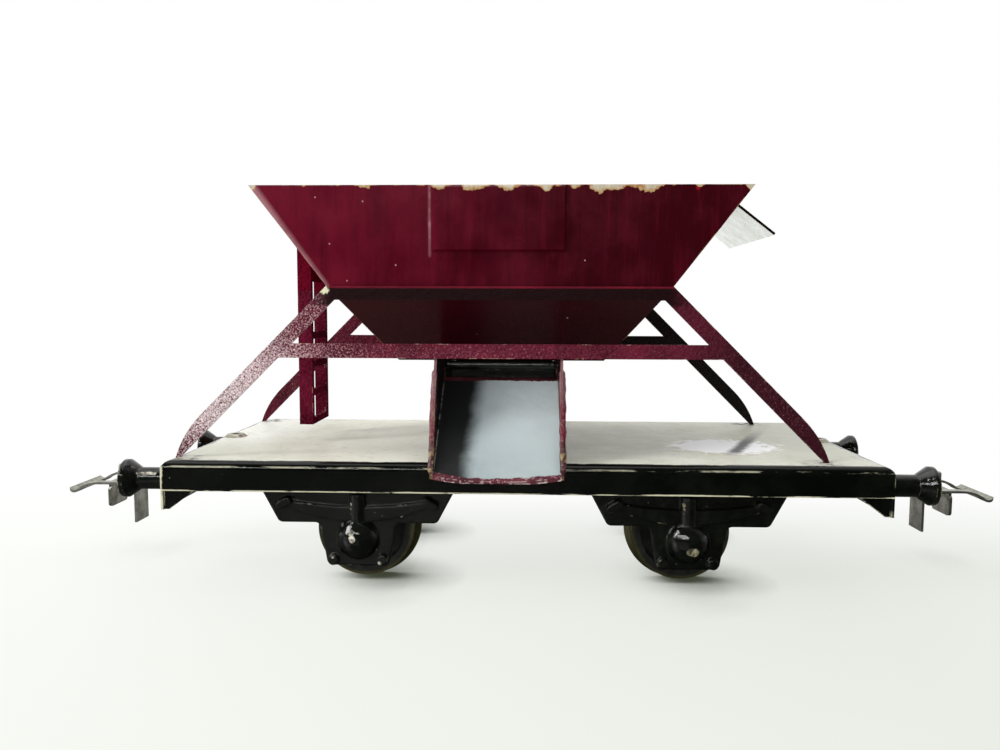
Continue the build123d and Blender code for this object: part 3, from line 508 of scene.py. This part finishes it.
def black_castings(name, wear_colour, share, chips):
    """Gloss black enamel dipped over small pressed and turned pieces: near black with sharp highlights, bare on
    a few corners. Each chip is the place and the radius of a pale spot: bare metal, and on the front guards'
    buckles, shackles and knobs and on a buffer's shank, a painted highlight."""
    material, tree, place = new_finish(name)
    clouds = add(tree, "TexNoise", place, Scale=1 / 4, Detail=4.0, Roughness=0.65)
    colour = add(tree, "MixRGB", add(tree, "MapRange", clouds, 0.4, 0.8), "#040604", "#15170f")
    dust = specks(tree, place, 1.4, 0.12, 0.14)
    colour = add(tree, "MixRGB", add(tree, "Math", dust, 0.5, operation="MULTIPLY"), colour, "#8a8975")
    bare = rubbed_edges(tree, place, 0.35, 2.2, share)
    # Pale spots: bare chips, and painted highlights where the list gives them
    for spot, radius in chips:
        away = add(tree, "VectorMath", place, spot, operation="DISTANCE", out="Value")
        away = add(tree, "Math", away, clouds, operation="ADD")
        chip_and_highlight_spot = add(tree, "MapRange", away, radius + 0.65, radius + 0.45)
        bare = add(tree, "Math", bare, chip_and_highlight_spot, operation="MAXIMUM")

    # Bare metal and painted highlights, mottled every 0.8 mm and browner to the right: a place taken as one
    # number is the mean of its X, Y and Z
    worn = add(tree, "MixRGB", add(tree, "MapRange", place, -10.0, 10.0), "#d6cfbf", wear_colour)
    mottle = add(tree, "MapRange", add(tree, "TexNoise", place, Scale=1 / 0.8, Detail=4.0), 0.42, 0.62)
    worn = add(tree, "MixRGB", mottle, "#3a3724", worn)
    colour = add(tree, "MixRGB", bare, colour, worn)

    # Gloss: dipped enamel lies in waves of 1.6 mm and rounds every corner
    ripple = add(tree, "TexNoise", place, Scale=1 / 1.6, Detail=3.0)
    soft = add(tree, "Bevel", 0.6 * MM, samples=6)
    normal = add(tree, "Bump", Strength=0.5, Distance=0.25 * MM, Height=ripple, Normal=soft)
    rough = add(tree, "MapRange", clouds, 0.3, 0.7, 0.05, 0.12)
    rough = add(tree, "MapRange", bare, 0.0, 1.0, rough, 0.5)
    shader = add(tree, "BsdfPrincipled", colour, Roughness=rough, Normal=normal)
    add(tree, "OutputMaterial", shader)
    return material


def wheel_black():
    """Blackened zinc casting: black faces, the tread and the rim's edge worn to olive metal."""
    material, tree, place = new_finish("blackened cast wheel")
    x, _, z = add(tree, "SeparateXYZ", place).node.outputs
    low, high = box_mm("wheel_right_front")
    axle = (low + high) / 2
    clouds = add(tree, "TexNoise", place, Scale=1 / 3, Detail=5.0, Roughness=0.7)
    colour = add(tree, "MixRGB", add(tree, "MapRange", clouds, 0.35, 0.7), "#0e0f0c", "#2a2a22")

    # Worn from 9.3 mm round the axle outwards, which is the tread and the flange
    along = add(tree, "Math", add(tree, "Math", x, operation="ABSOLUTE"), axle.x, operation="SUBTRACT")
    up = add(tree, "Math", z, axle.z, operation="SUBTRACT")
    radius = add(tree, "VectorMath", add(tree, "CombineXYZ", along, 0.0, up), operation="LENGTH", out="Value")
    radius = add(tree, "Math", clouds, 0.5, radius, operation="MULTIPLY_ADD")
    tread = add(tree, "MapRange", radius, 9.15, 9.5)
    colour = add(tree, "MixRGB", tread, colour, add(tree, "MixRGB", clouds, "#35331f", "#6b6745"))
    normal = add(tree, "Bump", Strength=0.4, Distance=0.12 * MM, Height=clouds)
    rough = add(tree, "MapRange", tread, 0.0, 1.0, 0.4, 0.35)
    metal = add(tree, "Math", tread, 0.7, operation="MULTIPLY")
    shader = add(tree, "BsdfPrincipled", colour, Roughness=rough, Metallic=metal, Normal=normal)
    add(tree, "OutputMaterial", shader)
    return material


def dull_steel(name, light, dark, roughness):
    """Tinned steel strip and wire, drawn and stamped: grey, with fine lines along it and dark handling marks. A
    die's lines are some 0.05 mm apart, too fine to show, so they are drawn 0.35 mm apart."""
    material, tree, place = new_finish(name)
    drawn = add(tree, "VectorMath", place, (0.1, 1.0, 1.0), operation="MULTIPLY")
    lines = add(tree, "TexNoise", drawn, Scale=1 / 0.35, Detail=3.0)
    clouds = add(tree, "TexNoise", place, Scale=1 / 2.5, Detail=5.0, Roughness=0.7)
    colour = add(tree, "MixRGB", add(tree, "MapRange", clouds, 0.35, 0.7), light, dark)
    colour = add(tree, "MixRGB", add(tree, "MapRange", lines, 0.45, 0.75, 0.0, 0.4), colour, dark)
    normal = add(tree, "Bump", Strength=0.3, Distance=0.05 * MM, Height=lines)
    rough = add(tree, "MapRange", clouds, 0.3, 0.7, roughness - 0.08, roughness + 0.14)
    shader = add(tree, "BsdfPrincipled", colour, Roughness=rough, Metallic=1.0, Normal=normal)
    add(tree, "OutputMaterial", shader)
    return material


def tinned_sheet():
    """Hot-dipped tin on sheet: pale, slightly green, in soft clouds of 4 mm, spotted with rust and dark along
    its cut edges."""
    material, tree, place = new_finish("tinned sheet")
    clouds = add(tree, "TexNoise", place, Scale=1 / 4, Detail=5.0, Roughness=0.7)
    colour = add(tree, "MixRGB", add(tree, "MapRange", clouds, 0.35, 0.7), "#c4c7bd", "#e6eae4")
    spots = specks(tree, place, 1.1, 0.16, 0.4)
    colour = add(tree, "MixRGB", add(tree, "Math", spots, 0.7, operation="MULTIPLY"), colour, "#55504a")
    broad = max(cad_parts["end_plate"].data.polygons, key=lambda face: face.area).normal
    facing = add(tree, "VectorMath", add(tree, "NewGeometry", out="True Normal"), tuple(broad),
                 operation="DOT_PRODUCT", out="Value")
    cut = add(tree, "Math", add(tree, "Math", facing, operation="ABSOLUTE"), 0.6, operation="LESS_THAN")
    colour = add(tree, "MixRGB", cut, colour, "#3a2422")
    normal = add(tree, "Bump", Strength=0.3, Distance=0.08 * MM, Height=clouds)
    shader = add(tree, "BsdfPrincipled", colour, Roughness=0.3, Metallic=1.0, Normal=normal)
    add(tree, "OutputMaterial", shader)
    return material


# ---- Added piece --------------------------------------------------------------------------------
def edge_beads(name, walls, course, width, depth, material):
    """Thick runs of paint along the chute walls' four sloping edges, one lumpy tube to each, thin at both ends.
    walls are the walls' places along X, and course the points (Y, Z) that a run follows."""
    rows, sides = 30, 8
    unevenness, lumps_per_mm, end_swell = 0.3, 0.7, 0.25
    verts, faces = [], []
    for x in walls:
        for side in (-1, 1):
            first = len(verts)
            for row in range(rows + 1):
                share = row / rows * (len(course) - 1)
                leg = min(int(share), len(course) - 2)
                at = Vector(course[leg]).lerp(Vector(course[leg + 1]), share - leg)
                for step in range(sides):
                    lump = noise.noise(Vector((x, side * at.x, at.y + 5 * step)) * lumps_per_mm)
                    swell = end_swell if row in (0, rows) else 1 + unevenness * lump
                    angle = 2 * pi * step / sides
                    across = x + cos(angle) * width / 2 * swell
                    out = at.x + sin(angle) * depth / 2 * swell
                    verts.append(Vector((across, side * out, at.y)) * MM)
            for row in range(rows):
                for step in range(sides):
                    a = first + row * sides + step
                    b = first + row * sides + (step + 1) % sides
                    faces.append((a, b, b + sides, a + sides)[::-side])
            last = len(verts) - sides
            faces.append(tuple(range(first, first + sides))[::side])
            faces.append(tuple(range(last, last + sides))[::-side])
    mesh = bpy.data.meshes.new(name)
    mesh.from_pydata(verts, [], faces)
    mesh.polygons.foreach_set("use_smooth", [True] * len(faces))
    mesh.materials.append(material)
    piece = bpy.data.objects.new(name, mesh)
    bpy.context.scene.collection.objects.link(piece)
    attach(piece, "wagon")


# ---- Camera, floor and light --------------------------------------------------------------------
def look(position, yaw, pitch, roll, lens):
    """A camera that looks along +Y, turned right by yaw, down by pitch and rolled, in radians."""
    data = bpy.data.cameras.new("camera")
    data.lens = lens
    data.sensor_width = 36.0
    data.clip_start = 0.01
    camera = bpy.data.objects.new("camera", data)
    bpy.context.scene.collection.objects.link(camera)
    level = Matrix.Rotation(radians(90), 4, "X")
    turn = Matrix.Rotation(-yaw, 4, "Z") @ Matrix.Rotation(-pitch, 4, "X") @ level
    camera.matrix_world = Matrix.Translation(Vector(position) * MM) @ turn @ Matrix.Rotation(-roll, 4, "Z")
    bpy.context.scene.camera = camera


def make_floor():
    """White laminate, a table top: a shade greener near the wagon, brighter to the left with painted light, and
    lost in white further off. It keeps the lamps' shadow faintly, and a painted shadow beside what stands
    between it and the window; where the wagon mirrors it, it is dim in front, as the room is, and white behind."""
    half = 6.0               # metres, so that its edge lies out of view
    corners = [(-half, -half, 0), (half, -half, 0), (half, half, 0), (-half, half, 0)]
    mesh = bpy.data.meshes.new("floor")
    mesh.from_pydata(corners, [], [(0, 1, 2, 3)])
    floor = bpy.data.objects.new("floor", mesh)
    bpy.context.scene.collection.objects.link(floor)
    material, tree, place = new_finish("white laminate")
    x, y, _ = add(tree, "SeparateXYZ", place).node.outputs
    far = add(tree, "VectorMath", place, (1.0, 1.0, 0.0), operation="MULTIPLY")
    far = add(tree, "VectorMath", far, operation="LENGTH", out="Value")
    path = add(tree, "LightPath").node.outputs

    # As a surface that the lamps light, and as the wagon mirrors it
    room = add(tree, "MixRGB", add(tree, "MapRange", y, 30.0, 120.0), "#2e2f2d", "#ffffff")
    tone = add(tree, "MixRGB", path["Is Glossy Ray"], "#f2f5ee", room)
    lit = add(tree, "BsdfPrincipled", tone, Roughness=0.35)

    # As the camera sees it: its own pale tone with painted light, brighter to the left, and a painted shadow
    # close to what stands between it and the window
    to_window = add(tree, "CombineXYZ", -0.75, -0.2, 0.6)
    painted_shadow_openness = add(tree, "AmbientOcclusion", Distance=13 * MM, Normal=to_window, samples=8, out="AO")
    painted_shadow_openness = add(tree, "MapRange", painted_shadow_openness, 0.45, 0.95)
    # Painted light: brighter towards the window on the left
    glow = add(tree, "MixRGB", add(tree, "MapRange", x, -110.0, 60.0), "#f8fbf5", "#e6eae2")
    glow = add(tree, "MixRGB", add(tree, "MapRange", far, 110.0, 260.0), glow, "#ffffff")
    glow = add(tree, "MixRGB", add(tree, "MapRange", y, -10.0, 60.0), glow, "#ffffff")
    glow = add(tree, "Emission", add(tree, "MixRGB", painted_shadow_openness, "#3b402f", glow))
    fade = add(tree, "MapRange", far, 90.0, 260.0, 0.88, 1.0, interpolation_type="SMOOTHSTEP")
    seen = add(tree, "Math", fade, path["Is Camera Ray"], operation="MULTIPLY")
    add(tree, "OutputMaterial", add(tree, "MixShader", seen, lit, glow))
    mesh.materials.append(material)


def make_world():
    """White to the camera; in reflections white behind the wagon and a dim room in front; soft as a light."""
    world = bpy.data.worlds.new("studio")
    bpy.context.scene.world = world
    world.use_nodes = True
    tree = world.node_tree
    tree.nodes.clear()
    path = add(tree, "LightPath").node.outputs
    way = add(tree, "SeparateXYZ", add(tree, "TexCoord", out="Generated"), out="Y")
    room = add(tree, "MapRange", way, -0.5, 0.3, 0.07, 1.0, interpolation_type="SMOOTHSTEP")
    unseen = add(tree, "MapRange", path["Is Glossy Ray"], 0.0, 1.0, 0.8, room)
    strength = add(tree, "MapRange", path["Is Camera Ray"], 0.0, 1.0, unseen, 1.0)
    add(tree, "OutputWorld", add(tree, "Background", "#ffffff", strength))


def make_lamp(name, position, target, size, power, **visibility):
    """A soft rectangular lamp turned to its target, in metres and watts, seen by all rays but those that
    visibility turns off."""
    data = bpy.data.lights.new(name, "AREA")
    data.shape = "RECTANGLE"
    data.size, data.size_y = size
    data.energy = power
    lamp = bpy.data.objects.new(name, data)
    bpy.context.scene.collection.objects.link(lamp)
    lamp.location = position
    lamp.rotation_euler = (Vector(target) - Vector(position)).to_track_quat("-Z", "Y").to_euler()
    for rays, seen in visibility.items():
        setattr(lamp, rays, seen)


look(position=(0.817, -175.909, 54.517), yaw=-0.034, pitch=0.082, roll=-0.003, lens=28.8)
make_floor()
make_world()
make_lamp("window", position=(-0.72, -0.36, 0.5), target=(0, 0, 0.03), size=(0.24, 0.5), power=5.6)
make_lamp("strip for highlights", position=(-0.3, -0.75, 0.4), target=(0, 0, 0.02), size=(0.8, 0.04),
          power=2.8, visible_diffuse=False)
make_lamp("ceiling", position=(-0.1, 0.05, 1.0), target=(0, 0, 0.05), size=(0.8, 0.8), power=2.4)
bpy.context.scene.view_settings.view_transform = "Standard"


# ---- The wagon, piece by piece ------------------------------------------------------------------
dress(gloss_maroon(), "hopper_side_front", "hopper_side_rear", "hopper_ends")
chipped = chute_edges()
dress(chipped, "chute_wall_left", "chute_wall_right")
edge_beads("chute_edge_paint", walls=(-16.65, 7.45), course=[(25.0, 43.2), (29.0, 33.9), (33.0, 24.5)],
           width=1.2, depth=0.7, material=chipped)
dress(pebbled_maroon("pebbled maroon enamel", glint=0.12, shine=0.1), "side_frame_front", "side_frame_rear")
dress(pebbled_maroon("brushed maroon enamel", glint=-0.3, shine=0.0), "ladder")
dress(chute_grey(), "chute_floor")
dress(black_chassis(), "platform")

# Pale spots on the front castings, (place, radius): bare chips on the axleboxes, painted highlights on the
# buckles, shackles and knobs, and a painted highlight along the left front buffer's shank
axlebox_chips = [((31.6, -28.9, 9.4), 0.75), ((32.3, -28.9, 9.2), 0.8),
                 ((-32.3, -28.9, 12.3), 0.6), ((-32.1, -28.9, 11.2), 0.6)]
buckle_highlights = [((30.3, -27.4, 18.0), 0.35), ((30.4, -27.4, 17.2), 0.2), ((30.4, -27.4, 16.4), 0.1),
               ((-32.6, -27.3, 17.4), 0.35), ((-32.6, -27.3, 16.5), 0.2), ((-32.5, -27.3, 15.6), 0.1)]
shackle_highlights = [((16.8, -27.4, 17.8), 0.2), ((-17.1, -27.4, 17.3), 0.3), ((-17.6, -27.4, 16.5), 0.1)]
knob_highlights = [((25.6, -27.5, 7.1), 0.15), ((-36.2, -27.5, 7.1), 0.2), ((-27.2, -27.5, 6.0), 0.35)]
shank_highlight = [((-76.8 + 0.45 * step, -21.0, 21.7), 0.25) for step in range(9)]
guard_chips_and_highlights = axlebox_chips + buckle_highlights + shackle_highlights + knob_highlights
dress(black_castings("dipped black enamel", wear_colour="#98905f", share=0.08, chips=guard_chips_and_highlights),
      "axle_bracket_left", "axle_bracket_right", "door_front", "door_rear", "door_rod_front", "door_rod_rear")
dress(black_castings("black enamel on turned metal", wear_colour="#c9c2a0", share=0.45, chips=shank_highlight),
      "buffer_left_front", "buffer_left_rear", "buffer_right_front", "buffer_right_rear")

dress(wheel_black(), "wheel_left_front", "wheel_left_rear", "wheel_right_front", "wheel_right_rear")
dress(dull_steel("drawn steel wire", light="#9b9a94", dark="#5e5c55", roughness=0.3),
      "axle_left", "axle_right")
dress(dull_steel("stamped steel strip", light="#b9b9ae", dark="#7f7e72", roughness=0.42),
      "drawbar_left", "drawbar_right", "coupling_loop_left", "coupling_loop_right")
dress(dull_steel("rolled tin rivet", light="#b9b6a6", dark="#6a675b", roughness=0.34),
      "coupler_pin_left", "coupler_pin_right")
dress(tinned_sheet(), "end_plate")
